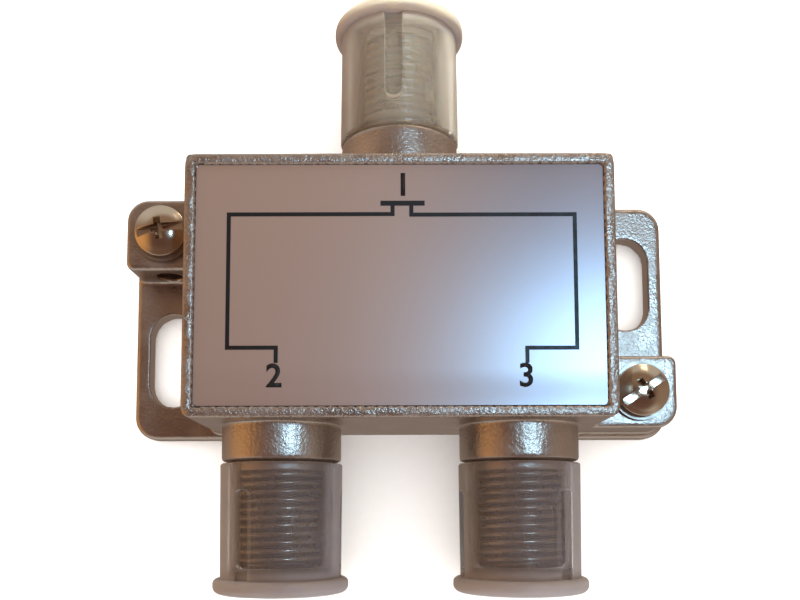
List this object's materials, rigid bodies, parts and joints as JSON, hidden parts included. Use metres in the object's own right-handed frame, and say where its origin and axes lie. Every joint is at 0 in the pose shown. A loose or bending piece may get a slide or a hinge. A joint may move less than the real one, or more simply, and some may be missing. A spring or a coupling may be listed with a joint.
{
  "type": "coaxial splitter",
  "caption": "Coaxial signal splitter: flat cast metal box with threaded ports in dust caps, slotted mounting ears, and ground bosses with clamping screws.",
  "frame": {"origin": "centre of the flat back face", "axes": "+X to the right of the label, +Y out of the input port, +Z out of the label"},
  "size_m": [0.0566, 0.0574, 0.015],
  "materials": {
    "nickel_casting": "nickel-plated zinc die casting, as-cast grain, satin",
    "foil_label": "satin metallised foil with black line print",
    "cover_steel": "tinned steel sheet",
    "screw_plate": "bright nickel-plated steel",
    "cap_plastic": "natural translucent polyethylene, moulded",
    "insulator_plastic": "moulded, natural white",
    "contact_brass": "tin-plated spring brass",
    "board_laminate": "paper laminate",
    "ferrite": "sintered, matt",
    "winding_wire": "enamelled copper wire",
    "resistor_body": "lacquered film resistor",
    "capacitor_body": "dipped ceramic disc"
  },
  "bodies": {
    "splitter": {"housing": "nickel_casting", "label_plate": "foil_label", "back_cover": "cover_steel", "port_insulator_in": "insulator_plastic", "port_insulator_out_left": "insulator_plastic", "port_insulator_out_right": "insulator_plastic", "centre_contact_in": "contact_brass", "centre_contact_out_left": "contact_brass", "centre_contact_out_right": "contact_brass", "circuit_board": "board_laminate", "matching_core": "ferrite", "splitting_core": "ferrite", "matching_winding": "winding_wire", "splitting_winding": "winding_wire", "isolation_resistor": "resistor_body", "tuning_capacitor": "capacitor_body"},
    "input_cap": {"dust_cap_in": "cap_plastic"},
    "left_cap": {"dust_cap_out_left": "cap_plastic"},
    "right_cap": {"dust_cap_out_right": "cap_plastic"},
    "left_washer": {"ground_washer_left": "screw_plate"},
    "left_screw": {"ground_screw_left": "screw_plate"},
    "right_washer": {"ground_washer_right": "screw_plate"},
    "right_screw": {"ground_screw_right": "screw_plate"}
  },
  "joints": [
    {"name": "input_cap_pull", "type": "slide", "parent": "splitter", "child": "input_cap", "axis": [0, 1, 0], "range_m": [0, 0.014]},
    {"name": "left_cap_pull", "type": "slide", "parent": "splitter", "child": "left_cap", "axis": [0, -1, 0], "range_m": [0, 0.014]},
    {"name": "right_cap_pull", "type": "slide", "parent": "splitter", "child": "right_cap", "axis": [0, -1, 0], "range_m": [0, 0.014]},
    {"name": "left_screw_lift", "type": "slide", "parent": "splitter", "child": "left_washer", "axis": [0, 0, 1], "range_m": [0, 0.0022]},
    {"name": "left_screw_turn", "type": "hinge", "parent": "left_washer", "child": "left_screw", "pos_m": [-0.02425, 0.00755, 0.007], "axis": [0, 0, 1], "range_deg": [0, 1585]},
    {"name": "right_screw_lift", "type": "slide", "parent": "splitter", "child": "right_washer", "axis": [0, 0, 1], "range_m": [0, 0.0022]},
    {"name": "right_screw_turn", "type": "hinge", "parent": "right_washer", "child": "right_screw", "pos_m": [0.02425, -0.00885, 0.007], "axis": [0, 0, 1], "range_deg": [0, 1585]}
  ],
  "couplings": [
    {"joint": "left_screw_turn", "follows": "left_screw_lift", "rad_per_m": 12566},
    {"joint": "right_screw_turn", "follows": "right_screw_lift", "rad_per_m": 12566}
  ]
}
